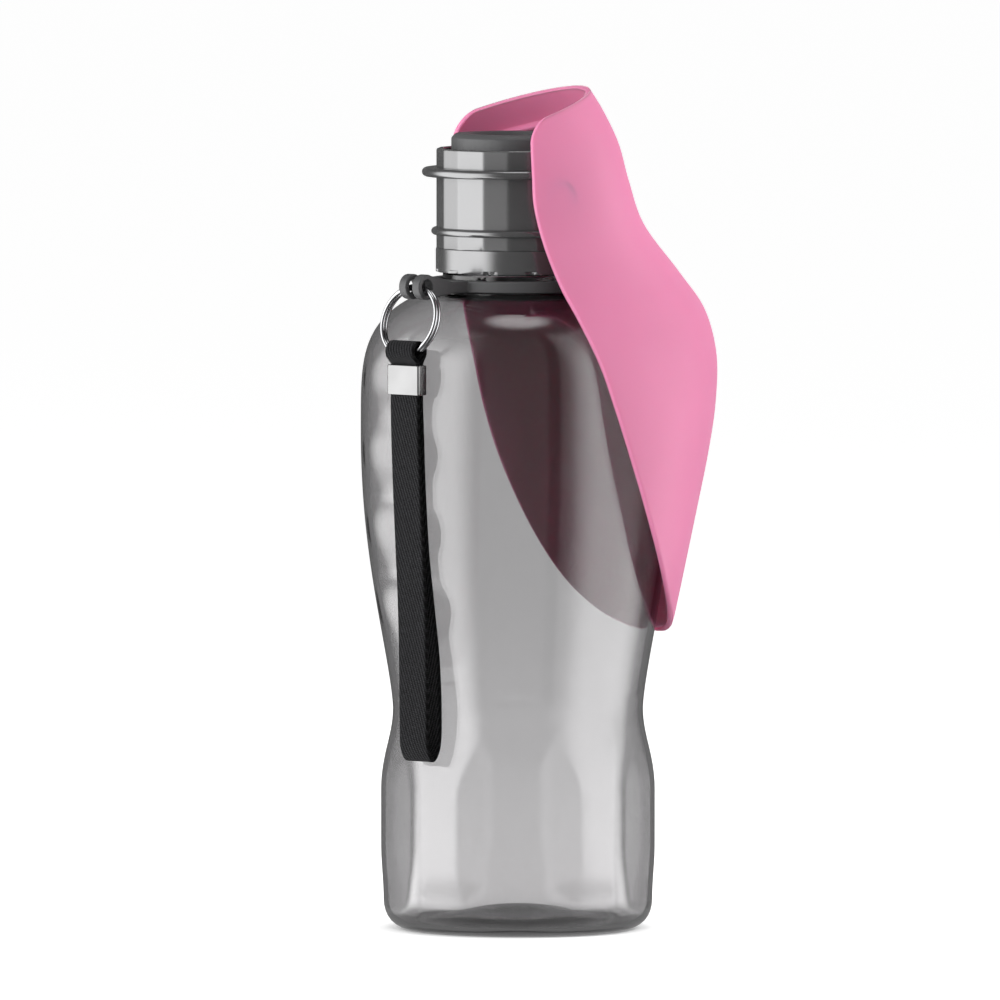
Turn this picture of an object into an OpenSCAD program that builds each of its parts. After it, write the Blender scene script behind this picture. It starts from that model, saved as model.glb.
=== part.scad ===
// Travel water bottle for dogs: a clear squeeze bottle, a screw cap with a twist valve,
// a leaf-shaped drinking bowl that swings on the cap, and a wrist strap on a split ring.
// Millimetres. Origin at the centre of the foot, +Z up, the leaf on +X.

/* [Bottle] */
// Radius of the lower drum
base_r = 40.2; // [38.5:0.1:42]
// Height of the lower drum, where the waist begins
base_h = 40; // [34:1:46]
// Radius of the waist
waist_r = 36.2; // [34:0.1:38]
// Height of the waist above the foot
waist_z = 64; // [60:1:70]
// Radius of the belly, the widest place
belly_r = 45.5; // [43:0.1:47]
// Height of the belly above the foot
belly_z = 144; // [138:1:150]
// Wall thickness of the bottle
wall = 2; // [1.2:0.1:2.6]
// Outer radius of the ring that the bottle stands on
foot_r = 31; // [29:0.5:33]
// Height of the hollow under the foot
punt_h = 5; // [3:0.5:7]
// Distance of each lower flat from the axis
flat_r = 36.8; // [36.4:0.1:38]

/* [Finger grips] */
// Direction of the column of grips
grip_az = 193; // [180:1:200]
// Height of the lowest grip
grip_z = 93; // [90:1:98]
// Spacing of the grips
grip_pitch = 23; // [20:0.5:23.5]
// Radius of the groove for one finger
grip_r = 12; // [9:0.5:14]
// Depth of the groove at its middle
grip_d = 3; // [1.5:0.25:3.5]

/* [Neck] */
// Outer radius of the neck
neck_r = 19.6; // [18:0.1:20.2]
// Length of the neck above the shoulder
neck_len = 18; // [15:0.5:19]

/* [Cap] */
// Outer radius of the cap barrel, over the corners of its flats
cap_r = 23.8; // [23.4:0.1:25]
// Height of the cap barrel
cap_h = 35.8; // [35:0.1:38]
// Height of the round skirt under the flats
skirt_h = 6.9; // [5:0.1:8]
// Number of flats round the barrel
cap_flats = 18; // [14:2:24]
// Thickness of the deck that the neck gasket seals on
deck_t = 2.5; // [2:0.1:3.5]
// Radius of the wide grip ring
upper_ring_r = 27.8; // [27:0.1:28.2]
// Thickness of the wide grip ring
upper_ring_t = 2.6; // [2:0.1:3]
// Radius of the narrow grip ring
lower_ring_r = 25.1; // [24.9:0.1:26]
// Thickness of the narrow grip ring
lower_ring_t = 2.2; // [1.6:0.1:2.6]

/* [Valve] */
// Radius of the twist knob
knob_r = 19.3; // [17:0.1:19.5]
// Height that the knob stands out of the barrel
knob_out = 4.2; // [3:0.1:6]
// Radius of each water port
port_r = 2.4; // [1.5:0.1:2.6]
// Distance of the ports from the axis
port_at = 7; // [6.8:0.1:7.5]
// Radius of the knob's stem
stem_r = 3; // [2.5:0.1:3.2]

/* [Leaf bowl] */
// Wall thickness of the leaf
leaf_wall = 1.8; // [1.5:0.1:2.2]
// Height of the pivot above the lower edge of the cap
pivot_up = 22.5; // [22:0.1:22.8]
// Length from the pivot down to the tip
leaf_len = 128; // [122:1:132]
// Height of the hood above the pivot
hood_len = 31; // [29:0.5:34]
// Gap between the wide grip ring and the cheeks of the hood
cheek_gap = 2.2; // [2:0.1:2.6]
// Radius of each pivot pin
pin_r = 2.2; // [1.8:0.1:2.4]

/* [Hanger] */
// Direction of the hanger's arm
hanger_az = 203; // [196:1:206]
// Outer radius of the collar
collar_r = 25.8; // [25:0.1:27]
// Thickness of the collar
collar_t = 3.4; // [2.5:0.1:3.6]
// Distance of the ears' hole from the axis
ear_at = 42.5; // [41.5:0.1:43]
// Radius of the round ears
ear_r = 3.65; // [3.4:0.05:4]
// Width over both ears
ears_w = 8.2; // [7.6:0.1:8.8]
// Width of the slot between the ears
ear_slot = 2.2; // [1.5:0.1:3]
// Outer radius of the split ring
ring_r = 10.85; // [10.5:0.05:11.2]
// Radius of the ring's wire
wire_r = 0.68; // [0.6:0.01:0.72]

/* [Wrist strap] */
// Width of the webbing
strap_w = 11; // [9:0.5:13]
// Thickness of the webbing
strap_t = 1.1; // [0.9:0.05:1.2]
// Thickness of the clip's metal
clip_t = 0.6; // [0.4:0.05:0.7]
// Height of the clip
clip_h = 8.6; // [6:0.2:9]

/* [Hidden] */
$fn = 96;

fit = 0.05;        // running clearance of a shaft in its hole
seat = 0.02;       // clearance of a piece that sits still in its seat

// Bottle
base_round = 8;    // rounding of the lower corner
drum_slack = 1;    // how much the drum narrows towards the foot
foot_w = 5;        // width of the ring that it stands on
flats = 5;
flat_az = 30;
belly_ease = 0.7;  // draws the belly's fullness downwards
shoulder_h = 45;   // height of the shoulder's dome, carried on to the axis
shoulder_p = 4.2;  // squareness of that dome
seat_up = 41.2;    // height of the flat under the collar, above the belly
seat_z = belly_z + seat_up;
shoulder_seat_r = 26.3;
neck_step = 2.2;   // how far the neck's root stands out of it
root_r = neck_r + neck_step;
neck_top = seat_z + neck_len;
grips = 4;

// Cap
corner_r = cap_r - 0.1;   // the flats' corners stand just inside the skirt
collar_gap = 0.1;
cap_gap = 1.8;     // open gap between the collar and the skirt
cap_z = seat_z + collar_gap + collar_t + cap_gap;
cap_top = cap_z + cap_h;
cap_wall = 2.4;
bore_r = cap_r - cap_wall;
gasket_t = 1.2;
deck_z = neck_top + gasket_t;
deck_top = deck_z + deck_t;
groove_d = 0.9;    // depth of the grooves that hold the grip rings
groove_r = cap_r - groove_d;
upper_drop = 6.9;  // from the top of the cap down to the wide ring
upper_ring_z = cap_top - upper_drop;
lower_up = 11.8;   // from the foot of the cap up to the narrow ring
lower_ring_z = cap_z + lower_up;
notches = 12;
notch = [0.8, 2.2, 0.9];   // depth, width and height of a notch in the skirt's foot

// Valve
disc_t = 2;
turret_r = 12.4;
turret_bore = 10.2;
plate_t = 2.4;
seal_t = 1.4;
knob_rim_t = 3.1;
knob_top = cap_top + knob_out;
knob_sunk = 5.4;   // how deep the knob's flange lies in the barrel
knob_z = cap_top - knob_sunk;
knob_gap = 0.4;    // round the knob's flange
knob_edge = 1.2;   // bevel round the knob's top
plate_top = knob_z - seal_t;
plate_z = plate_top - plate_t;
dish_r = 14;
dish_d = 3;
dish_slope = 1.5;  // how far the dish's wall leans in
ports = 3;
oring_r = 0.6;
clip_ring_t = 1;
clip_groove = 0.8; // depth of the stem's groove
clip_out = 1.8;    // how far the clip stands out of the stem
clip_play = 0.05;
clip_mouth = 2.2;  // opening in the clip's side
clip_z0 = plate_z - clip_play - clip_ring_t;
stem_tail = 3.4;   // length of the stem under the plate
vent_at = 14.6;
vent_r = 1.2;
vent_flap = [2.2, 0.9];   // radius and thickness of the vent's lip under the deck
vent_head = [1.7, 1.4];   // the same for its head above the disc

// Pivot
pivot_z = cap_z + pivot_up;
trunnion_r = 4.8;
trunnion_y = cap_r + 2.05;
washer_t = 0.6;
boss_y = trunnion_y + washer_t + 2 * fit;
bush_wall = 1.15;
bush_r = pin_r + fit + bush_wall;
bush_len = 2.7;
pin_in = cap_r - 1.6;
cheek_w = upper_ring_r + cheek_gap + leaf_wall;
boss_out = cheek_w - 1.6;

// Leaf: [height from the pivot, slope, keel, edge, half width, squareness, half turn].
// The hood's keel, edge and half width are shares of the cheeks' half width,
// and the bowl's are shares of the belly's radius, so that each follows what it covers.
hood_stations = [
    [hood_len,          0.33, 0.6415, -0.2390, 0.8302, 2.00, 90],
    [0.77 * hood_len,   0.30, 0.7673, -0.2642, 0.9057, 2.20, 90],
    [0.48 * hood_len,   0.24, 0.8868, -0.2767, 0.9686, 2.40, 90],
    [0.13 * hood_len,   0.16, 0.9811, -0.2704, 1, 2.45, 90],
    [-0.07 * leaf_len,  0.08, 1.1509, -0.2013, 1.0377, 2.30, 88]
];
bowl_stations = [
    [-0.18 * leaf_len,  0.03, 1.0637, -0.0615, 0.8088, 2.10, 86],
    [-0.266 * leaf_len, 0,    1.2440,  0.0176, 0.9143, 2, 84],
    [-0.367 * leaf_len, 0,    1.3099,  0.1187, 1.0286, 2, 82],
    [-0.477 * leaf_len, 0,    1.2879,  0.2110, 1.0857, 2, 80],
    [-0.586 * leaf_len, 0,    1.2264,  0.3121, 1.0945, 2, 76],
    [-0.695 * leaf_len, 0,    1.1473,  0.4308, 1.0505, 2, 72],
    [-0.805 * leaf_len, 0,    1.0681,  0.5670, 0.9495, 2, 66],
    [-0.898 * leaf_len, 0,    1.0066,  0.7033, 0.7780, 2, 60],
    [-0.962 * leaf_len, 0,    0.9670,  0.8308, 0.5385, 2, 55],
    [-0.991 * leaf_len, 0,    0.9538,  0.9077, 0.2747, 2, 52],
    [-leaf_len,         0,    0.9495,  0.9429, 0.0176, 2, 50]
];
function widened(rows, k) = [for (r = rows) [r[0], r[1], k * r[2], k * r[3], k * r[4], r[5], r[6]]];
leaf_stations = concat(widened(hood_stations, cheek_w), widened(bowl_stations, belly_r));
hood_corner = 0.12;  // share of half the hood's rim that each rounded corner takes
corner_row = 0.75;   // station at which the rounding ends
leaf_sides = 14;   // panels from the keel to each edge
ledge_row = 1.17;  // station at which the ledge runs round inside the hood
ledge_step = 0.08;
ledge_w = 1.6;

// Hanger, measured outwards from the axis along the arm
ear_up = 2.3;      // height of the ears' hole above the collar's foot
ear_z = seat_z + collar_gap + ear_up;
ear_hole_r = 2.1;
slot_in = 1;       // how much deeper than the ears the slot is
arm_in = 1;        // the arm starts this far outside the neck's root
arm_out = 6;       // and begins to taper this far outside the collar
collar_play = 0.1;
ring_out = 2.9;    // how far the ring's lowest point hangs outside the belly
ring_mid = ring_r - wire_r;
ring_tilt = asin((belly_r + ring_out - ear_at) / (2 * ring_mid));
coil_gap = 1.2;    // spacing of the ring's two turns
ring_low = [belly_r + ring_out, ear_z - 2 * ring_mid * cos(ring_tilt)];
strap_off = 0.8;   // the strap hangs to one side of the ring's lowest point
clip_drop = 11.4;    // height of the ring's lowest point above the clip's foot
clip_z = ring_low[1] - clip_drop;
air = 0.3;         // between the strap's legs, and behind the clip
leg_gap = strap_t + air;
clip_in = belly_r + air;
strap_play = 0.09; // between the strap and the clip
clip_inside = [leg_gap + strap_t + 2 * strap_play, strap_w + 2 * strap_play];
leg_in = clip_in + clip_t + strap_play + strap_t / 2;
leg_out = leg_in + leg_gap;
// At the top the strap lies round the ring's wire, with room for the wire's curve to turn in it
wire_rise = ring_mid - sqrt(pow(ring_mid, 2) - pow(strap_w / 2 + strap_off, 2));
wrap_play = 0.15;
wrap_r = norm([coil_gap / 2, wire_rise / 2]) + wire_r + wrap_play + strap_t / 2;
wrap_c = ring_low + wire_rise / 2 * [-sin(ring_tilt), cos(ring_tilt)];
clip_top = clip_z + clip_h;
clip_heights = [clip_top + 0.4, clip_top - 1.8, clip_top - 5, clip_z - 0.2, clip_z - 3.2];
// Centre line of the loop, [distance outwards, height], down the outer leg and up the inner one
strap_route = [
    for (h = clip_heights) [leg_out, h],
    [leg_out - 0.2, belly_z + 1], [leg_out - 0.9, belly_z - 14], [leg_out - 2.0, belly_z - 32],
    [leg_out - 3.0, 95], [leg_out - 3.5, 78], [leg_out - 3.7, 63], [leg_out - 4.0, 55],
    [leg_out - 6.2, 51.2],
    [leg_out - 8.3, 55], [leg_out - 8.7, 64], [leg_out - 7.9, 80], [leg_out - 5.7, 97],
    [leg_in - 2.5, belly_z - 32], [leg_in - 1.1, belly_z - 14], [leg_in - 0.4, belly_z + 1],
    for (i = [4:-1:0]) [leg_in, clip_heights[i]],
    for (a = [220:-26:-40]) wrap_c + wrap_r * [cos(a), sin(a)]
];

// ---------- curves ----------

// Half-cosine blend from a to b as t goes from 0 to 1
function blend(a, b, t) = a + (b - a) * (1 - cos(180 * t)) / 2;

// Catmull-Rom through a, b, c, d: the place between b and c at f
function spline4(a, b, c, d, f) =
    0.5 * (2 * b + (c - a) * f + (2 * a - 5 * b + 4 * c - d) * f * f
           + (3 * b - a - 3 * c + d) * f * f * f);

// Open spline through the list p; whole values of t are its points
function along(p, t) =
    let (n = len(p) - 1, i = min(floor(t), n - 1))
    spline4(i > 0 ? p[i - 1] : 2 * p[0] - p[1], p[i], p[i + 1],
            i < n - 1 ? p[i + 2] : 2 * p[n] - p[n - 1], t - i);

// Closed spline through the list p
function around(p, t) =
    let (n = len(p), i = floor(t))
    spline4(p[(i + n - 1) % n], p[i % n], p[(i + 1) % n], p[(i + 2) % n], t - i);

function unit(v) = v / norm(v);

// Radius of the outside of the bottle at height z
function body_r(z) =
    z < base_round ? base_r - drum_slack - base_round + sqrt(pow(base_round, 2) - pow(base_round - z, 2))
    : z < 24 ? blend(base_r - drum_slack, base_r, (z - base_round) / (24 - base_round))
    : z < base_h ? base_r
    : z < waist_z ? blend(base_r, waist_r, (z - base_h) / (waist_z - base_h))
    : z < belly_z ? blend(waist_r, belly_r, pow((z - waist_z) / (belly_z - waist_z), belly_ease))
    : belly_r * sqrt(1 - pow((z - belly_z) / shoulder_h, shoulder_p));

// Outline of the bottle's side, from the foot up to the shoulder
side_z = concat([for (i = [0:4]) base_round * (1 - cos(18 * i))], [8.1, 14, 19, 24, base_h],
                [for (i = [1:6]) base_h + (waist_z - base_h) * i / 6],
                [for (i = [1:16]) waist_z + (belly_z - waist_z) * i / 16],
                [for (i = [1:14]) belly_z + (seat_z - 0.3 - belly_z) * sin(90 * i / 14)]);
side = [for (z = side_z) [body_r(z), z]];

// The same outline moved inwards by d, square to itself
function inset(p, d) =
    [for (i = [1:len(p) - 2])
        let (t = unit(p[i + 1] - p[i - 1])) p[i] + d * [-t[1], t[0]]];

// ---------- bottle ----------

module grip_grooves(extra)
    for (k = [0:grips - 1])
        let (z = grip_z + k * grip_pitch)
        rotate(grip_az) translate([body_r(z) - grip_d + grip_r, 0, z])
            rotate([90, 0, 0]) cylinder(r = grip_r + extra, h = 2 * belly_r, center = true);

module side_flats(inwards)
    for (k = [0:flats - 1])
        rotate(flat_az + k * 360 / flats) translate([flat_r - inwards, -base_r, -1])
            cube([base_r, 2 * base_r, waist_z + 1]);

module body_solid(inwards) {
    inner = inset(side, inwards);
    outline = inwards == 0 ? side : inner;
    last = outline[len(outline) - 1];
    difference() {
        rotate_extrude() polygon(concat([[0, outline[0][1]]], outline, [[0, last[1]]]));
        side_flats(inwards);
        grip_grooves(inwards);
    }
}

module bottle() {
    color("dimgray", 0.45) difference() {
        union() {
            body_solid(0);
            translate([0, 0, seat_z - 2]) cylinder(r = shoulder_seat_r, h = 2);
            cylinder(r = root_r, h = cap_z - 0.3);
            cylinder(r = neck_r, h = neck_top);
        }
        difference() {
            body_solid(wall);
            punt(wall);
        }
        translate([0, 0, belly_z]) cylinder(r = neck_r - wall, h = neck_top);
        punt(0);
    }
}

// Dome pushed up into the foot, thicker by the amount given
module punt(more) {
    r = foot_r - foot_w;
    dome = (r * r + punt_h * punt_h) / (2 * punt_h);
    intersection() {
        translate([0, 0, punt_h - dome]) sphere(r = dome + more);
        translate([0, 0, -1]) cylinder(r = r + more, h = punt_h + more + 1);
    }
}

// ---------- cap ----------

module ring_groove(z, t)
    translate([0, 0, z - t / 2]) difference() {
        cylinder(r = cap_r + 1, h = t);
        translate([0, 0, -1]) cylinder(r = groove_r, h = t + 2);
    }

module on_pivot(side) translate([0, 0, pivot_z]) rotate([-90 * side, 0, 0]) children();

module vent_hole()
    rotate(90) translate([vent_at, 0, deck_z - 1]) cylinder(r = vent_r + fit, h = deck_t + disc_t + 2, $fn = 32);

module cap_barrel() {
    skirt_top = cap_z + skirt_h;
    color("dimgray") difference() {
        union() {
            translate([0, 0, cap_z]) cylinder(r = cap_r, h = skirt_h);
            translate([0, 0, skirt_top]) linear_extrude(cap_top - skirt_top)
                polygon([for (k = [0:cap_flats - 1]) corner_r * [cos(k * 360 / cap_flats), sin(k * 360 / cap_flats)]]);
            for (s = [-1, 1]) on_pivot(s) cylinder(r = trunnion_r, h = trunnion_y);
        }
        translate([0, 0, cap_z - 1]) cylinder(r = bore_r, h = deck_z - cap_z + 1);
        translate([0, 0, deck_top]) cylinder(r = bore_r, h = cap_top);
        cylinder(r = turret_bore, h = cap_top);
        ring_groove(upper_ring_z, upper_ring_t + 2 * seat);
        ring_groove(lower_ring_z, lower_ring_t + 2 * seat);
        for (s = [-1, 1]) on_pivot(s) translate([0, 0, pin_in - seat]) cylinder(r = pin_r + seat, h = 10, $fn = 48);
        vent_hole();
        skirt_notches();
    }
}

// Small notches in the lower edge of the skirt, for the closing machine
module skirt_notches()
    for (k = [0:notches - 1])
        rotate((k + 0.5) * 360 / notches) translate([cap_r - notch[0], -notch[1] / 2, cap_z - 1])
            cube([notch[0] + 1, notch[1], notch[2] + 1]);

module grip_ring(r, t)
    rotate_extrude() difference() {
        union() {
            translate([groove_r + seat, -t / 2]) square([r - t / 2 - groove_r - seat, t]);
            translate([r - t / 2, 0]) circle(r = t / 2, $fn = 32);
        }
    }

module upper_grip_ring() color("gray") translate([0, 0, upper_ring_z]) grip_ring(upper_ring_r, upper_ring_t);
module lower_grip_ring() color("gray") translate([0, 0, lower_ring_z]) grip_ring(lower_ring_r, lower_ring_t);

module washer(r_in, r_out, t) difference() {
    cylinder(r = r_out, h = t);
    translate([0, 0, -1]) cylinder(r = r_in, h = t + 2);
}

module neck_gasket() color("lightgray") translate([0, 0, neck_top]) washer(neck_r - wall, bore_r - 0.3, gasket_t);

// ---------- valve ----------

module at_ports(turn) for (k = [0:ports - 1]) rotate(turn + k * 360 / ports) translate([port_at, 0, 0]) children();

module valve_seat() color("slategray") difference() {
    union() {
        translate([0, 0, deck_top]) cylinder(r = bore_r - seat, h = disc_t);
        translate([0, 0, deck_top]) cylinder(r = turret_r, h = plate_top - deck_top);
    }
    translate([0, 0, deck_top - 1]) cylinder(r = turret_bore, h = plate_z - deck_top + 1);
    cylinder(r = stem_r + fit, h = cap_top, $fn = 48);
    translate([0, 0, plate_z - 1]) at_ports(60) cylinder(r = port_r, h = plate_t + 2, $fn = 32);
    vent_hole();
}

module face_seal() color("white") difference() {
    translate([0, 0, plate_top]) washer(stem_r + 2 * oring_r + 0.3, turret_r - 0.4, seal_t);
    translate([0, 0, plate_top - 1]) at_ports(60) cylinder(r = port_r + 0.2, h = seal_t + 2, $fn = 32);
}

module stem_o_ring() color("black") translate([0, 0, plate_top + seal_t / 2])
    rotate_extrude() translate([stem_r + oring_r + fit, 0]) circle(r = oring_r, $fn = 24);

module vent_valve() color("white") rotate(90) translate([vent_at, 0, 0]) {
    translate([0, 0, deck_z - vent_flap[1]]) cylinder(r = vent_flap[0], h = vent_flap[1], $fn = 32);
    translate([0, 0, deck_z - 0.1]) cylinder(r = vent_r, h = deck_t + disc_t + 0.2, $fn = 32);
    translate([0, 0, deck_top + disc_t]) cylinder(r = vent_head[0], h = vent_head[1], $fn = 32);
}

module valve_knob() {
    color("#4b4b4d") difference() {
        union() {
            rotate_extrude() polygon([
                [0, knob_z], [bore_r - knob_gap, knob_z], [bore_r - knob_gap, knob_z + knob_rim_t],
                [knob_r, knob_z + knob_rim_t], [knob_r, knob_top - knob_edge],
                [knob_r - knob_edge, knob_top], [dish_r, knob_top],
                [dish_r - dish_slope, knob_top - dish_d], [0, knob_top - dish_d]]);
            translate([0, 0, plate_z - stem_tail])
                cylinder(r = stem_r, h = knob_z - plate_z + stem_tail + 0.1, $fn = 48);
        }
        translate([0, 0, knob_z - 1]) at_ports(0) cylinder(r = port_r, h = 20, $fn = 32);
        translate([0, 0, clip_z0 - seat]) difference() {
            cylinder(r = stem_r + 1, h = clip_ring_t + 2 * seat, $fn = 48);
            translate([0, 0, -1]) cylinder(r = stem_r - clip_groove, h = clip_ring_t + 3, $fn = 48);
        }
    }
}

module stem_clip() color("silver") translate([0, 0, clip_z0]) difference() {
    washer(stem_r - clip_groove + fit, stem_r + clip_out, clip_ring_t);
    translate([0, -clip_mouth / 2, -1]) cube([stem_r + clip_out + 1, clip_mouth, clip_ring_t + 2]);
}

// ---------- pivots ----------

module pivot_pin(side) color("silver") on_pivot(side)
    translate([0, 0, pin_in]) cylinder(r = pin_r, h = boss_y + bush_len - 0.1 - pin_in, $fn = 48);

module pivot_washer(side) color("white") on_pivot(side)
    translate([0, 0, trunnion_y + fit]) washer(pin_r + fit, trunnion_r - 0.1, washer_t);

module pivot_bush(side) color("ivory") on_pivot(side)
    translate([0, 0, boss_y]) washer(pin_r + fit, bush_r, bush_len);

module pivot_pin_left() pivot_pin(1);
module pivot_pin_right() pivot_pin(-1);
module pivot_washer_left() pivot_washer(1);
module pivot_washer_right() pivot_washer(-1);
module pivot_bush_left() pivot_bush(1);
module pivot_bush_right() pivot_bush(-1);

// ---------- leaf bowl ----------

// A superellipse of squareness n in polar form: its point in direction a
function super(a, n) =
    let (c = cos(a), s = sin(a), k = pow(pow(abs(c), n) + pow(abs(s), n), -1 / n)) k * [c, s];

// Point of the leaf's outside at station t, and a from -1 at one edge to 1 at the other
function leaf_at(t, a) =
    let (p = along(leaf_stations, t), end = super(p[6], p[5]), q = super(a * p[6], p[5]),
         u = p[3] + (p[2] - p[3]) * (q[0] - end[0]) / (1 - end[0]),
         v = p[4] * q[1] / end[1])
    [u, v, pivot_z + p[0] + p[1] * (u - p[2])];

// Outward direction there, from the way the leaf runs to either side
function leaf_out(t, a) =
    let (e = 0.02, m = len(leaf_stations) - 1,
         du = leaf_at(min(t + e, m), a) - leaf_at(max(t - e, 0), a),
         dv = leaf_at(t, min(a + e, 1)) - leaf_at(t, max(a - e, -1)))
    unit(cross(dv, -du));

// Share of the full width that the leaf has at station t, for the hood's rounded corners
function leaf_share(t) =
    t >= corner_row ? 1 : 1 - hood_corner * (1 - sqrt(1 - pow(1 - t / corner_row, 2)));

// How far the ledge stands in from the wall
function ledge(t, a) =
    t >= ledge_row - 0.001 && t <= ledge_row + ledge_step + 0.001 ? ledge_w * (1 - pow(a, 4)) : 0;

leaf_rows = concat([for (i = [0:4]) corner_row * (1 - cos(22.5 * i))],
                   [1, ledge_row - ledge_step, ledge_row, ledge_row + ledge_step],
                   [for (i = [4:3 * (len(leaf_stations) - 1)]) i / 3]);

module leaf_shell() {
    rows = len(leaf_rows);
    cols = 2 * leaf_sides + 1;
    outer = [for (t = leaf_rows, j = [0:cols - 1]) leaf_at(t, leaf_share(t) * (j / leaf_sides - 1))];
    inner = [for (t = leaf_rows, j = [0:cols - 1])
        let (a = leaf_share(t) * (j / leaf_sides - 1))
        leaf_at(t, a) - (leaf_wall + ledge(t, a)) * leaf_out(t, a)];
    n = rows * cols;
    skin = [for (i = [0:rows - 2], j = [0:cols - 2])
        let (k = i * cols + j) [k, k + 1, k + cols + 1, k + cols]];
    // the free border, once round: top, one side, bottom, other side
    border = concat([for (j = [0:cols - 1]) j],
                    [for (i = [1:rows - 1]) i * cols + cols - 1],
                    [for (j = [cols - 2:-1:0]) (rows - 1) * cols + j],
                    [for (i = [rows - 2:-1:1]) i * cols]);
    m = len(border);
    polyhedron(
        points = concat(outer, inner),
        faces = concat(
            [for (f = skin) each [[f[0], f[1], f[2]], [f[0], f[2], f[3]]]],
            [for (f = skin) each [[n + f[0], n + f[2], n + f[1]], [n + f[0], n + f[3], n + f[2]]]],
            [for (i = [0:m - 1])
                let (a = border[i], b = border[(i + 1) % m])
                each [[b, a, n + a], [b, n + a, n + b]]]),
        convexity = 8);
}

module leaf_bowl() color("hotpink") difference() {
    union() {
        leaf_shell();
        for (s = [-1, 1]) on_pivot(s) translate([0, 0, boss_y]) cylinder(r = trunnion_r, h = boss_out - boss_y);
    }
    for (s = [-1, 1]) on_pivot(s) translate([0, 0, boss_y - 1]) cylinder(r = bush_r + seat, h = bush_len + 1, $fn = 48);
}

// ---------- hanger ----------

module on_hanger() rotate(hanger_az) children();

// A shape drawn in [distance outwards, height], given the width across the arm
module across(w, at = 0)
    translate([0, at + w / 2, 0]) rotate([90, 0, 0]) linear_extrude(w) children();

module hanger_collar() color("dimgray") on_hanger() difference() {
    union() {
        translate([0, 0, seat_z + collar_gap]) cylinder(r = collar_r, h = collar_t);
        across(ears_w) {
            translate([ear_at, ear_z]) circle(r = ear_r, $fn = 64);
            polygon([
                [root_r + arm_in, seat_z + collar_gap], [collar_r + arm_out, seat_z + collar_gap],
                [ear_at, ear_z - ear_r], [ear_at, ear_z + ear_r],
                [collar_r + arm_out, seat_z + collar_gap + collar_t],
                [root_r + arm_in, seat_z + collar_gap + collar_t]]);
        }
    }
    translate([0, 0, seat_z - 1]) cylinder(r = root_r + collar_play, h = collar_t + 2);
    translate([ear_at - ear_r - slot_in, -ear_slot / 2, ear_z - 2 * ear_r]) cube([4 * ear_r, ear_slot, 4 * ear_r]);
    translate([ear_at, 0, ear_z]) rotate([90, 0, 0]) cylinder(r = ear_hole_r, h = 2 * ears_w, center = true, $fn = 48);
}

module split_ring() color("silver") on_hanger()
    translate([ear_at, 0, ear_z]) rotate([0, -ring_tilt, 0]) translate([0, 0, -ring_mid]) rotate([0, 90, 0])
        rotate_extrude() for (s = [-1, 1])
            translate([ring_mid, s * coil_gap / 2]) circle(r = wire_r, $fn = 32);

// ---------- wrist strap ----------

function strap_side(d) =
    let (n = len(strap_route), m = 3 * n)
    [for (i = [0:m - 1])
        let (t = i / 3, w = unit(around(strap_route, t + 0.05) - around(strap_route, t + n - 0.05)))
        around(strap_route, t) + d * [w[1], -w[0]]];

module wrist_strap() color("#1c1c1e") on_hanger() across(strap_w, strap_off) difference() {
    polygon(strap_side(-strap_t / 2));
    polygon(strap_side(strap_t / 2));
}

// Sheet metal folded round both legs, with rounded folds
module strap_clip() color("gainsboro") on_hanger()
    translate([leg_in - strap_t / 2 - strap_play, strap_off - strap_w / 2 - strap_play, clip_z])
        difference() {
            union() {
                clip_block(clip_t, 0);
                clip_block(0, clip_t);
                for (x = [0, clip_inside[0]], y = [0, clip_inside[1]])
                    translate([x, y, 0]) cylinder(r = clip_t, h = clip_h, $fn = 32);
            }
            translate([0, 0, -1]) cube([clip_inside[0], clip_inside[1], clip_h + 2]);
        }

// The clip's inside, larger by x and y on each side
module clip_block(x, y)
    translate([-x, -y, 0]) cube([clip_inside[0] + 2 * x, clip_inside[1] + 2 * y, clip_h]);

bottle();
cap_barrel();
upper_grip_ring();
lower_grip_ring();
neck_gasket();
valve_seat();
face_seal();
stem_o_ring();
vent_valve();
valve_knob();
stem_clip();
pivot_pin_left();
pivot_pin_right();
pivot_washer_left();
pivot_washer_right();
pivot_bush_left();
pivot_bush_right();
leaf_bowl();
hanger_collar();
split_ring();
strap_clip();
wrist_strap();
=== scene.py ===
"""Travel water bottle for dogs: smoke-clear bottle, screw cap with twist valve,
leaf-shaped drinking bowl and wrist strap. Shapes are worked out in millimetres in the
part's own frame and become metres when a mesh is made."""

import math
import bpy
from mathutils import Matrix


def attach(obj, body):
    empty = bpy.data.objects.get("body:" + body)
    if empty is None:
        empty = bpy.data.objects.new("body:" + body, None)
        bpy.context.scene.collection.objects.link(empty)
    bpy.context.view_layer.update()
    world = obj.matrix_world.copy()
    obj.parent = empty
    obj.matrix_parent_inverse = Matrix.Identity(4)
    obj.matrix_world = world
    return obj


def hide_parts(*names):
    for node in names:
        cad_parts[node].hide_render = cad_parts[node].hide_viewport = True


bl_info = {
    "name": "Dog travel bottle",
    "version": (1, 0, 0),
    "blender": (4, 5, 0),
    "location": "3D View > Sidebar > Dog bottle",
    "description": "Builds the visible pieces of a travel water bottle for dogs",
    "category": "Add Mesh",
}

from contextlib import contextmanager

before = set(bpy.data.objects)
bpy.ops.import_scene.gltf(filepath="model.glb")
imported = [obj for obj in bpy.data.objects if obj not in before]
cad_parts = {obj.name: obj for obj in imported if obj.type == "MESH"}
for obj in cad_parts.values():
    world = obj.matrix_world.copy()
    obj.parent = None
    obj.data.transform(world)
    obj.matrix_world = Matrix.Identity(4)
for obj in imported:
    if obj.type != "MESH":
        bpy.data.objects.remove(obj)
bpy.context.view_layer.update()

import bmesh
import bpy
import numpy as np
from bpy.props import FloatProperty, FloatVectorProperty, PointerProperty
from mathutils import Matrix, Vector

MM = 0.001
TURN = 2 * np.pi

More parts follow.
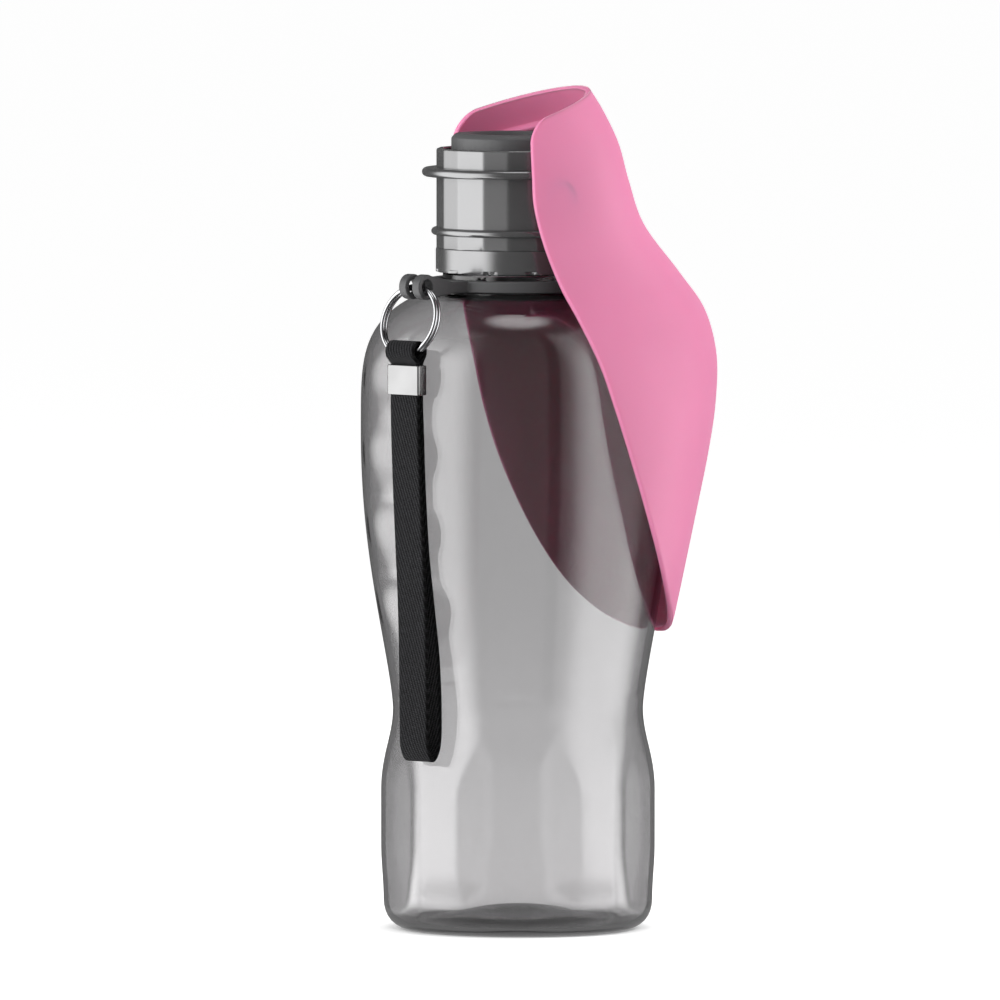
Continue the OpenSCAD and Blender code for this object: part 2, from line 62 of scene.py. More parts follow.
# Places that the pieces share, in millimetres, and directions in radians about Z from the X axis
BELLY_R = 45.5                          # widest part of the bottle
SEAT_Z = 185.2                          # flat that the collar lies on
CAP_Z, CAP_TOP = 190.5, 226.3
PIVOT_Z = 213.0                         # axis of the leaf's pins, along Y
HANGER_AZ = math.radians(203)           # direction of the hanger's arm
EAR = np.array([42.5, 187.6])           # hole in its ears: distance outwards, height
WIRE_R, RING_R = 0.68, 10.17            # split ring's wire, and the circle along its middle
RING_OUT = BELLY_R + 2.9                # the circle's lowest point hangs outside the belly
RING_TILT = math.asin((RING_OUT - EAR[0]) / (2 * RING_R))       # lean from upright
RING_LOW = np.array([RING_OUT, EAR[1] - 2 * RING_R * math.cos(RING_TILT)])
STRAP_W, STRAP_T = 11.0, 1.1
STRAP_OFF = 0.8                         # strap's shift sideways on the ring
CLIP_H, CLIP_T, CLIP_PLAY = 8.6, 0.6, 0.09
CLIP_Z = RING_LOW[1] - 11.4
AIR = 0.3                               # behind the clip, and between the strap's legs
LEG_IN = BELLY_R + AIR + CLIP_T + CLIP_PLAY + STRAP_T / 2       # the legs' distance outwards
LEG_OUT = LEG_IN + STRAP_T + AIR


# ------------------------ user settings


def metres(name, about, default, low, high):
    return FloatProperty(
        name=name, description=about, default=default, min=low, max=high,
        unit="LENGTH", subtype="DISTANCE", precision=5,
    )


def shade(name, about, default):
    return FloatVectorProperty(
        name=name, description=about, default=default, min=0, max=1, size=3, subtype="COLOR"
    )


class BottleSizes(bpy.types.PropertyGroup):
    """Sizes that can be changed without moving a piece off its seat"""

    wall: metres("Wall", "Wall of the bottle", 0.002, 0.001, 0.003)
    grip_depth: metres("Grip depth", "Depth of each finger groove", 0.003, 0.001, 0.0035)
    flat_soft: metres("Flat edges", "Softness of the lower flats' edges", 0.0016, 0.0002, 0.004)
    leaf_wall: metres("Leaf wall", "Wall of the leaf bowl", 0.0018, 0.001, 0.0025)
    rim_round: metres("Leaf rim", "Rounding of the leaf's rim", 0.0006, 0.0002, 0.0009)
    wire: metres("Ring wire", "Radius of the split ring's wire", 0.00066, 0.0004, 0.00068)
    strap_width: metres("Strap width", "Width of the webbing", 0.011, 0.008, 0.011)
    strap_thick: metres("Strap thickness", "Thickness of the webbing", 0.0011, 0.0007, 0.0011)


class BottleFinish(bpy.types.PropertyGroup):
    """Colours of the finishes"""

    smoke: shade("Smoke", "Tint that the bottle's wall lets through", (0.33, 0.32, 0.33))
    cap: shade("Cap", "Grey of the cap and its rings", (0.195, 0.195, 0.197))
    knob: shade("Knob", "Grey of the knob and the collar", (0.070, 0.070, 0.072))
    pink: shade("Leaf", "Pink of the leaf bowl", (0.80, 0.255, 0.44))
    webbing: shade("Webbing", "Black of the wrist strap", (0.012, 0.012, 0.013))
    chrome: shade("Ring", "Colour of the split ring", (0.42, 0.42, 0.43))


def sizes():
    return bpy.context.scene.dog_bottle_sizes


def finish():
    return bpy.context.scene.dog_bottle_finish


# ------------------------ shader maths


class Value:
    """A node's output used as a number: + - and * add Math nodes."""

    def __init__(self, paint, socket):
        self.paint, self.socket = paint, socket

    def maths(self, operation, *others, flipped=False):
        values = [self, *others]
        if flipped:
            values.reverse()
        return self.paint.add("ShaderNodeMath", {"operation": operation}, dict(enumerate(values)))

    def __add__(self, other):
        return self.maths("ADD", other)

    def __sub__(self, other):
        return self.maths("SUBTRACT", other)

    def __rsub__(self, other):
        return self.maths("SUBTRACT", other, flipped=True)

    def __mul__(self, other):
        return self.maths("MULTIPLY", other)

    __radd__ = __add__
    __rmul__ = __mul__

    def step(self, low, high):
        """Smooth rise from 0 at low to 1 at high"""
        return self.paint.add(
            "ShaderNodeMapRange", {"interpolation_type": "SMOOTHSTEP"},
            {"Value": self, "From Min": low, "From Max": high},
        )

    def part(self, name):
        """Another output of the same node"""
        return Value(self.paint, self.socket.node.outputs[name])


class Nodes:
    """A node tree, of a material or of the world, and the nodes that are added to it."""

    def __init__(self, owner):
        owner.use_nodes = True
        self.tree = owner.node_tree

    def add(self, kind, settings=None, inputs=None, out=0):
        """New node of a kind: its settings first, then the values or links of its sockets"""
        node = self.tree.nodes.new(kind)
        for key, value in (settings or {}).items():
            setattr(node, key, value)
        for key, value in (inputs or {}).items():
            if isinstance(value, Value):
                self.tree.links.new(value.socket, node.inputs[key])
            else:
                node.inputs[key].default_value = value
        return Value(self, node.outputs[out])

    def place(self):
        """Object coordinates, in metres"""
        return self.add("ShaderNodeTexCoord", out="Object")

    def along(self):
        """The piece's own UV map"""
        return self.add("ShaderNodeTexCoord", out="UV")

    def output(self, kind, value):
        """Links a shader to the tree's output, which a new world may lack"""
        nodes = self.tree.nodes
        node = nodes.get(kind + " Output") or nodes.new("ShaderNodeOutput" + kind)
        self.tree.links.new(value.socket, node.inputs["Surface"])

    def split(self, vector):
        return self.add("ShaderNodeSeparateXYZ", inputs={0: vector})

    def vectors(self, operation, *vectors, out=0):
        return self.add("ShaderNodeVectorMath", {"operation": operation},
                        dict(enumerate(vectors)), out)

    def noise(self, vector, scale, detail, rough=0.5):
        return self.add("ShaderNodeTexNoise", inputs={
            "Vector": vector, "Scale": scale, "Detail": detail, "Roughness": rough})

    def mix(self, factor, first, second):
        """Colour from first to second as factor goes from 0 to 1"""
        return self.add("ShaderNodeMix", {"data_type": "RGBA"},
                        {0: factor, 6: (*first, 1), 7: (*second, 1)}, out=2)


class Paint(Nodes):
    """One material's tree and its Principled shader."""

    def __init__(self, name, **constants):
        self.material = bpy.data.materials.new(name)
        super().__init__(self.material)
        self.shader = self.tree.nodes["Principled BSDF"]
        for socket, value in constants.items():
            self.shader.inputs[socket.replace("_", " ")].default_value = value

    def feed(self, socket, value):
        self.tree.links.new(value.socket, self.shader.inputs[socket])

    def bump(self, height, strength, distance):
        self.feed("Normal", self.add("ShaderNodeBump", inputs={
            "Strength": strength, "Distance": distance, "Height": height}))


def scaled(colour, factor):
    """A colour made lighter or darker, no channel past 1"""
    return tuple(min(1.0, channel * factor) for channel in colour)


DRIFT = (0.3, 0.7)      # range of a slow noise that carries a colour from end to end
SPREAD = 0.05           # share of each noise in a moulded finish's roughness
SMOKE_DENSITY = 342.0   # absorption per metre of wall, before the tint


def moulded(name, colour, rough, grain, depth=0.00003, swing=0.06, **constants):
    """Moulded plastic: fine grain in the bump, slow drift in colour and gloss.

    Base colour goes from 1 - swing to 1 + swing of the colour with the drift, and
    roughness = rough + SPREAD * (drift + grain - 1)."""
    paint = Paint(name, **constants)
    place = paint.place()
    drift = paint.noise(place, 28, 2)
    fine = paint.noise(place, grain, 4, 0.6)
    paint.feed("Base Color", paint.mix(
        drift.step(*DRIFT), scaled(colour, 1 - swing), scaled(colour, 1 + swing)))
    paint.feed("Roughness", drift * SPREAD + fine * SPREAD + (rough - SPREAD))
    paint.bump(fine, 0.25, depth)
    return paint.material


def clear_bottle():
    """Clear smoke-grey plastic, polished, with the slow ripple of a blown wall"""
    paint = Paint("clear_bottle", Transmission_Weight=1.0, IOR=1.56,
                  Base_Color=(0.97, 0.97, 0.97, 1))
    place = paint.place()
    ripple = paint.noise(place, 16, 1.5)
    paint.feed("Roughness", paint.noise(place, 60, 2) * 0.02 + 0.012)
    paint.bump(ripple, 0.06, 0.0006)
    # the tint is in the wall's depth, so that it darkens where the wall is seen edge on
    smoke = paint.add("ShaderNodeVolumeAbsorption", inputs={
        "Color": (*finish().smoke, 1), "Density": SMOKE_DENSITY})
    paint.tree.links.new(smoke.socket, paint.tree.nodes["Material Output"].inputs["Volume"])
    return paint.material


def satin_cap():
    """Grey plastic with a satin metallic lacquer"""
    return moulded("satin_cap", tuple(finish().cap), 0.21, 2600, depth=0.000012,
                   Coat_Weight=0.1, Coat_Roughness=0.2, Metallic=0.75)


def matt_knob():
    """Dark grey plastic of the knob, the collar and its arm"""
    return moulded("matt_knob", tuple(finish().knob), 0.50, 3200, depth=0.00004)


def leaf_pink():
    """Soft-touch pink plastic that lets a little light into its wall"""
    return moulded("leaf_pink", tuple(finish().pink), 0.42, 3000, depth=0.00002, swing=0.025,
                   Subsurface_Weight=0.5, Subsurface_Scale=0.002,
                   Subsurface_Radius=(1.0, 0.6, 0.75), Specular_IOR_Level=0.4)


def ivory_bush():
    return moulded("ivory_bush", (0.72, 0.70, 0.64), 0.38, 2500)


def pale_seal():
    return moulded("pale_seal", (0.62, 0.62, 0.60), 0.55, 1800, Subsurface_Weight=0.2,
                   Subsurface_Scale=0.001)


def black_o_ring():
    return moulded("black_o_ring", (0.02, 0.02, 0.021), 0.55, 1800)


def polished(name, colour, rough, scratches, stretch):
    """Polished metal with fine scratches, drawn out along the axis whose stretch is under 1"""
    paint = Paint(name, Metallic=1.0)
    place = paint.add("ShaderNodeMapping", inputs={"Vector": paint.place(), "Scale": stretch})
    fine = paint.noise(place, scratches, 5, 0.65)
    drift = paint.noise(paint.place(), 90, 2)
    paint.feed("Base Color", paint.mix(
        drift.step(*DRIFT), scaled(colour, 0.93), scaled(colour, 1.05)))
    paint.feed("Roughness", fine * 0.08 + drift * 0.05 + (rough - 0.06))
    paint.bump(fine, 0.12, 0.000008)
    return paint.material


def ring_chrome():
    return polished("ring_chrome", tuple(finish().chrome), 0.14, 2400, (1, 1, 1))


def clip_sheet():
    return polished("clip_sheet", (0.22, 0.22, 0.22), 0.24, 1500, (1, 1, 0.08))


def pin_steel():
    return polished("pin_steel", (0.60, 0.60, 0.61), 0.30, 1200, (1, 0.1, 1))


def strap_webbing():
    """Black twill webbing: steep ribs, threads across them and a plain selvedge.

    U is length in centimetres and V runs across from -0.5 to 0.5. Ribs and threads are each
    (1 + sin(turns)) / 2: 3.4 or 19 turns to the centimetre, leaning by 10.5 turns over the
    width, or by 5 the other way."""
    paint = Paint("strap_webbing", Sheen_Weight=0.04, Sheen_Roughness=0.4, Specular_IOR_Level=0.08)
    uv = paint.split(paint.along())
    length, across = uv.part("X"), uv.part("Y")
    fuzz = paint.noise(paint.place(), 2600, 3, 0.7)
    ribs = ((length * 3.4 - across * 10.5 + fuzz * 0.5) * TURN).maths("SINE") * 0.5 + 0.5
    threads = ((length * 19.0 + across * 5.0) * TURN).maths("SINE") * 0.5 + 0.5
    edge = across.maths("ABSOLUTE").step(0.42, 0.5)
    height = ribs * threads * 0.6 + ribs * 0.15 + fuzz.step(0.45, 0.75) * 0.5 - edge * 0.4
    black = tuple(finish().webbing)
    # the colour follows the relief height: painted shade in the grooves and at the lowered
    # selvedges, painted highlight on the raised ribs and threads; the fuzz adds random fibre tone
    paint.feed("Base Color", paint.mix(height, scaled(black, 0.2), scaled(black, 4.2)))
    paint.feed("Roughness", 0.85 - ribs * 0.22)
    paint.bump(height, 0.9, 0.00022)
    return paint.material


FINISHES = {
    "smoke_plastic": clear_bottle, "cap_plastic": satin_cap, "knob_plastic": matt_knob,
    "pink_plastic": leaf_pink, "bush_plastic": ivory_bush, "seal_rubber": pale_seal,
    "black_rubber": black_o_ring, "steel": pin_steel, "chrome": ring_chrome,
    "clip_metal": clip_sheet, "webbing": strap_webbing,
}


def material(slot):
    """The slot's finish, made once under its own name, because the imported model.glb has plain
    ones by slot
    """
    maker = FINISHES[slot]
    return bpy.data.materials.get(maker.__name__) or maker()


# ------------------------ meshes


def patch(points, loop_rows=False, loop_cols=False, uv=None, flip=False):
    """Quads over a grid of points[row, column]; a looped side joins its last to its first"""
    rows, cols = points.shape[:2]
    index = np.arange(rows * cols).reshape(rows, cols)
    if loop_rows:
        index = np.vstack([index, index[:1]])
    if loop_cols:
        index = np.hstack([index, index[:, :1]])
    quads = np.stack([index[:-1, :-1], index[:-1, 1:], index[1:, 1:], index[1:, :-1]], -1)
    quads = quads.reshape(-1, 4)
    if flip:
        quads = quads[:, ::-1]
    return points.reshape(-1, 3), quads, uv


@contextmanager
def editing(mesh):
    """The mesh as a bmesh, which goes back into it at the end"""
    work = bmesh.new()
    work.from_mesh(mesh)
    yield work
    work.to_mesh(mesh)
    work.free()


def tidy(mesh, sharp):
    """Joins doubled points, which closes seams and poles, and smooths below the sharp angle"""
    with editing(mesh) as work:
        bmesh.ops.remove_doubles(work, verts=work.verts, dist=2e-7)
        bmesh.ops.dissolve_degenerate(work, edges=work.edges, dist=1e-8)
    mesh.shade_smooth()
    mesh.set_sharp_from_angle(angle=math.radians(sharp))


def dress(obj, body, slot, replaced):
    """Gives a piece its finish and body, and hides the CAD nodes that it stands for"""
    obj.data.materials.clear()
    obj.data.materials.append(material(slot))
    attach(obj, body)
    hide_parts(*replaced)
    return obj


def make(name, patches, body, slot, replaced, sharp):
    """One piece from its patches, given in millimetres"""
    points, quads, maps, count = [], [], [], 0
    for place, faces, uv in patches:
        points.append(place)
        quads.append(faces + count)
        if uv is not None:
            maps.append(uv[faces].reshape(-1, 2))
        count += len(place)
    points, quads = np.concatenate(points) * MM, np.concatenate(quads)
    mesh = bpy.data.meshes.new(name)
    mesh.vertices.add(len(points))
    mesh.vertices.foreach_set("co", points.ravel())
    mesh.loops.add(quads.size)
    mesh.loops.foreach_set("vertex_index", quads.ravel())
    mesh.polygons.add(len(quads))
    mesh.polygons.foreach_set("loop_start", np.arange(0, quads.size, 4))
    mesh.update(calc_edges=True)
    if maps:
        mesh.uv_layers.new(name="along").data.foreach_set("uv", np.concatenate(maps).ravel())
    mesh.validate()
    tidy(mesh, sharp)
    obj = bpy.data.objects.new(name, mesh)
    bpy.context.scene.collection.objects.link(obj)
    return dress(obj, body, slot, replaced)


def outward(obj):
    """Turns the faces of a closed piece outwards"""
    with editing(obj.data) as work:
        bmesh.ops.recalc_face_normals(work, faces=work.faces)


def soften(name, node, body, slot, width, segments=2):
    """A copy of a CAD node, its flat faces joined and its corners rounded by a live bevel"""
    mesh = bpy.data.objects[node].data.copy()
    tidy(mesh, 30)
    obj = bpy.data.objects.new(name, mesh)
    bpy.context.scene.collection.objects.link(obj)
    with editing(mesh) as work:
        bmesh.ops.remove_doubles(work, verts=work.verts, dist=2e-6)
        bmesh.ops.dissolve_limit(
            work, angle_limit=math.radians(1.0), verts=work.verts, edges=work.edges)
    bevel = obj.modifiers.new("Edges", "BEVEL")
    bevel.width, bevel.segments = width * MM, segments
    bevel.limit_method, bevel.angle_limit = "ANGLE", math.radians(35)
    bevel.use_clamp_overlap, bevel.harden_normals = True, True
    return dress(obj, body, slot, [node])


def spline(points, t, closed=False):
    """Uniform Catmull-Rom curve through the points; whole values of t are the points"""
    points = np.asarray(points, float)
    count = len(points)
    if closed:
        padded = np.vstack([points[-1], points, points[:2]])
    else:
        padded = np.vstack([2 * points[0] - points[1], points, 2 * points[-1] - points[-2]])
    low = np.clip(np.floor(t).astype(int), 0, count - (1 if closed else 2))
    f = (t - low)[:, None]
    a, b, c, d = (padded[low + k] for k in range(4))
    return 0.5 * (2 * b + (c - a) * f + (2 * a - 5 * b + 4 * c - d) * f**2
                  + (3 * b - a - 3 * c + d) * f**3)


def unit(vectors):
    """Vectors along the last axis made one long"""
    return vectors / np.maximum(np.linalg.norm(vectors, axis=-1, keepdims=True), 1e-12)


def soft_min(a, b, width):
    """The smaller of a and b, less width / 4 * near^2, where near rises from 0 to 1 as their
    difference falls from the width to nothing"""
    near = np.maximum(width - np.abs(a - b), 0) / width
    return np.minimum(a, b) - near**2 * width / 4


def ease(x):
    """Smooth rise 3x^2 - 2x^3 from 0 to 1, flat outside them"""
    x = np.clip(x, 0, 1)
    return x * x * (3 - 2 * x)


def turned(radius, height, angle):
    """Points at a radius and height, for each direction"""
    return np.stack([radius * np.cos(angle), radius * np.sin(angle),
                     height + 0 * radius * angle], -1)


def revolve(profile, steps, closed=True):
    """An outline of (radius, height) turned about Z; one that isn't closed ends on the axis"""
    profile = np.asarray(profile, float)
    angle = np.arange(steps)[None, :] * TURN / steps
    return patch(turned(profile[:, :1], profile[:, 1:], angle), loop_cols=True, loop_rows=closed)


def on_pivot(outline, side, flip, closed=True):
    """An outline of (radius, distance) turned about the leaf's axis, on the side -1 or 1"""
    place, faces, uv = revolve(outline, 64, closed)
    place = np.stack([place[:, 0], side * place[:, 2], PIVOT_Z + place[:, 1]], 1)
    return place, faces[:, ::-1] if flip else faces, uv


def rounded(outline, radius, steps=4, closed=True):
    """An outline with each corner turned into the curve (1-t)^2 a + 2t(1-t) corner + t^2 b
    between points a and b at the radius from it; radius may be one for each corner"""
    outline = np.asarray(outline, float)
    radius = np.broadcast_to(radius, len(outline))
    result = []
    for i, corner in enumerate(outline):
        before, after = outline[i - 1] - corner, outline[(i + 1) % len(outline)] - corner
        reach = min(radius[i], 0.48 * np.linalg.norm(before), 0.48 * np.linalg.norm(after))
        if reach < 1e-6 or (not closed and i in (0, len(outline) - 1)):
            result.append(corner[None])
            continue
        a, b = corner + unit(before) * reach, corner + unit(after) * reach
        t = np.linspace(0, 1, steps + 1)[:, None]
        result.append((1 - t)**2 * a + 2 * t * (1 - t) * corner + t**2 * b)
    return np.concatenate(result)


# ------------------------ bottle

FOOT_FLAT, FOOT_R, FOOT_ROUND = 31.2, 39.2, 8.0     # underside, side and rounding of the foot
DRUM_R, DRUM_Z = 40.2, 40.0             # drum, and where it starts to narrow
WAIST_R, WAIST_Z = 36.2, 64.0
BELLY_Z = 144.0
DOME_H, DOME_CUT = 45.0, 40.75          # shoulder's full height, and where the neck cuts it
GRIPS, GRIP_AZ, GRIP_Z, GRIP_PITCH, GRIP_R = 4, math.radians(193), 93.0, 23.0, 12.0
FLATS, FLAT_R, FLAT_AZ, FLAT_TOP = 5, 36.8, math.radians(30), 68
PUNT_R, PUNT_H = 26.0, 5.0              # hollow under the foot
NECK_R, BORE_R, LIP_R = 21.8, 19.6, 17.6    # neck below its thread, under it, and inside it
UNCUT = 99                              # radius that cuts nothing away


def side_radius(z):
    """Radius of the plain turned body: the foot is a quarter circle, the drum, waist and belly
    run between two radii as half a cosine, and the shoulder is BELLY_R * sqrt(1 - x^4.2) over
    its share x of the height"""
    z = np.asarray(z, float)

    def blend(a, b, t):
        return a + (b - a) * (1 - np.cos(np.pi * np.clip(t, 0, 1))) / 2

    below = FOOT_ROUND - np.minimum(z, FOOT_ROUND)
    foot = FOOT_FLAT + np.sqrt(np.maximum(FOOT_ROUND**2 - below**2, 0))
    drum = blend(FOOT_R, DRUM_R, (z - FOOT_ROUND) / 16)
    waist = blend(DRUM_R, WAIST_R, (z - DRUM_Z) / (WAIST_Z - DRUM_Z))
    belly = blend(WAIST_R, BELLY_R, np.clip((z - WAIST_Z) / (BELLY_Z - WAIST_Z), 0, 1)**0.7)
    dome = BELLY_R * np.sqrt(np.maximum(1 - np.clip((z - BELLY_Z) / DOME_H, 0, 1)**4.2, 0))
    return np.select([z < FOOT_ROUND, z < DRUM_Z, z < WAIST_Z, z < BELLY_Z],
                     [foot, drum, waist, belly], dome)


def with_grips(radius, z, angle, wall):
    """Cuts the lower flats and the finger grooves into a turned radius.

    A flat is a plane at FLAT_R, so its radius is FLAT_R / cos of the turn from its middle. A
    groove is a rod of radius GRIP_R laid square across the direction GRIP_AZ."""
    size = sizes()
    pitch = TURN / FLATS
    to_flat = (angle - FLAT_AZ + pitch / 2) % pitch - pitch / 2
    flats = np.where(z < FLAT_TOP, (FLAT_R - wall) / np.cos(to_flat), UNCUT)
    radius = soft_min(radius, flats, size.flat_soft / MM)
    depth, facing, least = size.grip_depth / MM, np.cos(angle - GRIP_AZ), 0.2
    reach = GRIP_R + wall
    for k in range(GRIPS):
        middle = GRIP_Z + k * GRIP_PITCH
        hollow = np.sqrt(np.maximum(reach**2 - (z - middle)**2, 0))
        groove = (side_radius(middle) - depth + GRIP_R - hollow) / np.maximum(facing, least)
        groove = np.where((np.abs(z - middle) < reach) & (facing > least), groove, UNCUT)
        radius = soft_min(radius, groove, 2.2)
    return radius


def thread(z, angle):
    """Height of the neck's screw thread: a smooth ridge that climbs by the pitch in each turn,
    for about one and a half turns, and fades in and out"""
    pitch, start, width, height, turns_long, fade = 4.5, 193.4, 1.15, 0.9, 1.55, 6
    turns = (z - start) / pitch - angle / TURN
    whole = np.round(turns)
    run = whole + angle / TURN
    ridge = ease(1.25 * (1 - np.abs(turns - whole) * pitch / width))
    return height * ridge * ease(run * fade) * ease((turns_long - run) * fade)


def bottle_shell():
    """One closed skin: up the outside from the hollow foot, over the lip and down the inside.

    The inner side is the outer one moved a wall along its normal, and the hollow foot is a ball
    of radius (PUNT_R^2 + PUNT_H^2) / (2 PUNT_H)."""
    wall = sizes().wall / MM
    angle = np.arange(216)[None, :] * TURN / 216
    quarter = np.pi / 2
    side_z = np.concatenate([
        FOOT_ROUND * (1 - np.cos(np.linspace(0, quarter, 9))), np.linspace(10, DRUM_Z, 15),
        np.linspace(42, WAIST_Z, 14)[:-1], np.linspace(WAIST_Z, BELLY_Z, 66),
        BELLY_Z + DOME_CUT * np.sin(np.linspace(0, quarter, 30))[1:]])
    side = np.stack([side_radius(side_z), side_z], 1)
    run = unit(np.gradient(side, axis=0))
    inner = side + wall * np.stack([-run[:, 1], run[:, 0]], 1)
    inner = inner[(inner[:, 1] > wall + 0.2) & (inner[:, 1] < 182.7) & (inner[:, 0] > 19)]

    def hollow(height, reach, more):
        r = np.linspace(0, reach, 12)
        ball = (PUNT_R**2 + PUNT_H**2) / (2 * PUNT_H)
        return np.stack([r, height - ball - more + np.sqrt((ball + more)**2 - r**2)], 1)

    parts = {
        "punt": hollow(PUNT_H, PUNT_R, 0),
        "foot": [[26.4, 0.02], [27.5, 0], [29.5, 0]],
        "side": side,
        "neck": rounded(
            [[26.25, 184.6], [26.2, SEAT_Z], [NECK_R, SEAT_Z], [NECK_R, 190.2], [BORE_R, 190.2]],
            [0, 0.5, 0.5, 0.5, 0.0], closed=False),
        "screw": np.stack([np.full(40, BORE_R), np.linspace(190.6, 202.4, 40)], 1),
        "lip": rounded(
            [[BORE_R, 202.6], [BORE_R, 203.2], [LIP_R, 203.2], [LIP_R, 184.0], [18.6, 183.0],
             [24.0, 182.9]], [0, 0.5, 0.5, 0.6, 0.8, 0.0], closed=False),
        "inner": inner[::-1],
        "base": [[29.0, wall], [27.5, wall]],
        "floor": hollow(PUNT_H + wall, PUNT_R + 0.6, wall)[::-1],
    }
    profile = np.concatenate(list(parts.values()))
    part = np.concatenate([np.full(len(rows), name) for name, rows in parts.items()])[:, None]
    radius, z = profile[:, :1] + 0 * angle, profile[:, 1:]
    radius = np.where(part == "side", with_grips(radius, z, angle, 0), radius)
    radius = np.where(part == "inner", with_grips(radius, z, angle, wall), radius)
    radius = radius + np.where(part == "screw", thread(z, angle), 0)
    return patch(turned(radius, z, angle), loop_cols=True)


class BOTTLE_OT_body(bpy.types.Operator):
    """Blown bottle with a drum foot, five flats, four finger grooves and a screw neck"""

    bl_idname = "dog_bottle.body"
    bl_label = "Bottle"

    def execute(self, context):
        make("bottle_body", [bottle_shell()], "bottle", "smoke_plastic", ["bottle"], sharp=60)
        return {"FINISHED"}


# ------------------------ leaf bowl

# Stations from the hood's brim to the tip: height from the pivot, slope, keel and edge (distance
# along X), half width, squareness, and half turn in degrees
HOOD_LEN, LEAF_LEN = 31, 128            # from the pivot up to the brim, and down to the tip
LEAF = np.array([
    [HOOD_LEN, 0.33, 20.4, -7.6, 26.4, 2.00, 90],
    [0.77 * HOOD_LEN, 0.30, 24.4, -8.4, 28.8, 2.20, 90],
    [0.48 * HOOD_LEN, 0.24, 28.2, -8.8, 30.8, 2.40, 90],
    [0.13 * HOOD_LEN, 0.16, 31.2, -8.6, 31.8, 2.45, 90],
    [-0.07 * LEAF_LEN, 0.08, 36.6, -6.4, 33.0, 2.30, 88],
    [-0.18 * LEAF_LEN, 0.03, 48.4, -2.8, 36.8, 2.10, 86],
    [-0.266 * LEAF_LEN, 0, 56.6, 0.8, 41.6, 2, 84],
    [-0.367 * LEAF_LEN, 0, 59.6, 5.4, 46.8, 2, 82],
    [-0.477 * LEAF_LEN, 0, 58.6, 9.6, 49.4, 2, 80],
    [-0.586 * LEAF_LEN, 0, 55.8, 14.2, 49.8, 2, 76],
    [-0.695 * LEAF_LEN, 0, 52.2, 19.6, 47.8, 2, 72],
    [-0.805 * LEAF_LEN, 0, 48.6, 25.8, 43.2, 2, 66],
    [-0.898 * LEAF_LEN, 0, 45.8, 32.0, 35.4, 2, 60],
    [-0.962 * LEAF_LEN, 0, 44.2, 37.9, 24.5, 2, 55],
    [-0.991 * LEAF_LEN, 0, 43.85, 41.7, 12.5, 2, 52],
    [-LEAF_LEN, 0, 43.7, 43.4, 0.8, 2, 50],
])


def oval(angle, square):
    """Superellipse in polar form, 2 for a circle and more for a squarer one"""
    c, s = np.cos(angle), np.sin(angle)
    k = (np.abs(c)**square + np.abs(s)**square)**(-1 / square)
    return k * c, k * s


def leaf_surface(t, a):
    """Outside of the leaf at stations t, from one edge at a = -1 to the other at a = 1.

    Each row is a part of a superellipse, stretched so that it runs from edge to edge through the
    keel, and tilted: its height falls with the distance from the keel, by the slope."""
    h, slope, keel, edge, half, square, turn = (
        column.reshape(t.shape) for column in spline(LEAF, t.ravel()).T)
    turn = np.radians(turn)
    end_x, end_y = oval(turn, square)
    x, y = oval(a * turn, square)
    u = edge + (keel - edge) * (x - end_x) / (1 - end_x)
    return np.stack([u, half * y / end_y, PIVOT_Z + h + slope * (u - keel)], -1)


def leaf_shell():
    """Two skins a wall apart, joined by a rounded rim all the way round"""
    wall, soft = sizes().leaf_wall / MM, sizes().rim_round / MM
    last, arc, narrow = len(LEAF) - 1, 0.75, 0.12
    t = np.concatenate([
        arc * (1 - np.cos(np.linspace(0, np.pi / 2, 14))), np.linspace(0.82, 1, 4),
        np.linspace(1.04, 1.4, 13), np.linspace(1.5, 13, 76), np.linspace(13.08, last, 26)])
    a = np.linspace(-1, 1, 91)
    # the hood's corners are quarter ellipses, an arc of stations long and a narrow share deep
    corner = np.sqrt(np.maximum(1 - (1 - np.clip(t / arc, 0, 1))**2, 0))
    a = a[None, :] * (1 - narrow * (1 - corner))[:, None]
    t = t[:, None] + 0 * a
    e = 0.01
    down = leaf_surface(np.minimum(t + e, last), a) - leaf_surface(np.maximum(t - e, 0), a)
    over = leaf_surface(t, np.minimum(a + e, 1)) - leaf_surface(t, np.maximum(a - e, -1))
    out = unit(np.cross(over, -down))
    outer = leaf_surface(t, a)
    # a ledge inside the hood thickens the wall by 1.6 mm and fades out towards the edges
    ledge = 1.6 * ease((t - 1.07) / 0.10) * ease((1.35 - t) / 0.10) * (1 - a**4)
    rows, cols = t.shape
    index = np.arange(rows * cols).reshape(rows, cols)
    rim = np.concatenate([index[0], index[1:, -1], index[-1, -2::-1], index[-2:0:-1, 0]])
    i, j = np.divmod(rim, cols)
    # at each point of the rim: n points out of the skin and away points off its edge
    edge, n = outer[i, j], out[i, j]
    way = unit(np.roll(edge, -1, 0) - np.roll(edge, 1, 0))
    away = unit(np.cross(way, n))
    inward = outer[rows // 2, cols // 2] - edge
    away = away * np.where(np.sum(away * inward, -1, keepdims=True) > 0, -1, 1)
    for _ in range(2):
        away = unit(np.roll(away, 1, 0) + 2 * away + np.roll(away, -1, 0))
    back = edge - soft * away
    outer = outer.copy()
    outer[i, j] = back
    inner = outer - (wall + ledge)[..., None] * out
    turn = np.linspace(0, np.pi / 2, 5)[:, None, None]
    front = back + soft * (np.sin(turn) * away + (np.cos(turn) - 1) * n)
    rear = back - wall * n + soft * (np.cos(turn) * away + (1 - np.sin(turn)) * n)
    band = np.concatenate([front, rear])
    return [patch(outer, flip=True), patch(inner), patch(band, loop_cols=True)]


def pivot_boss(side):
    """Ring inside the cheek that holds the bush, turned about the pivot's axis"""
    outline = rounded([[3.42, 26.55], [4.8, 26.55], [4.8, 30.6], [3.42, 30.6]], [0.2, 0.3, 0, 0])
    return on_pivot(outline, side, side > 0)


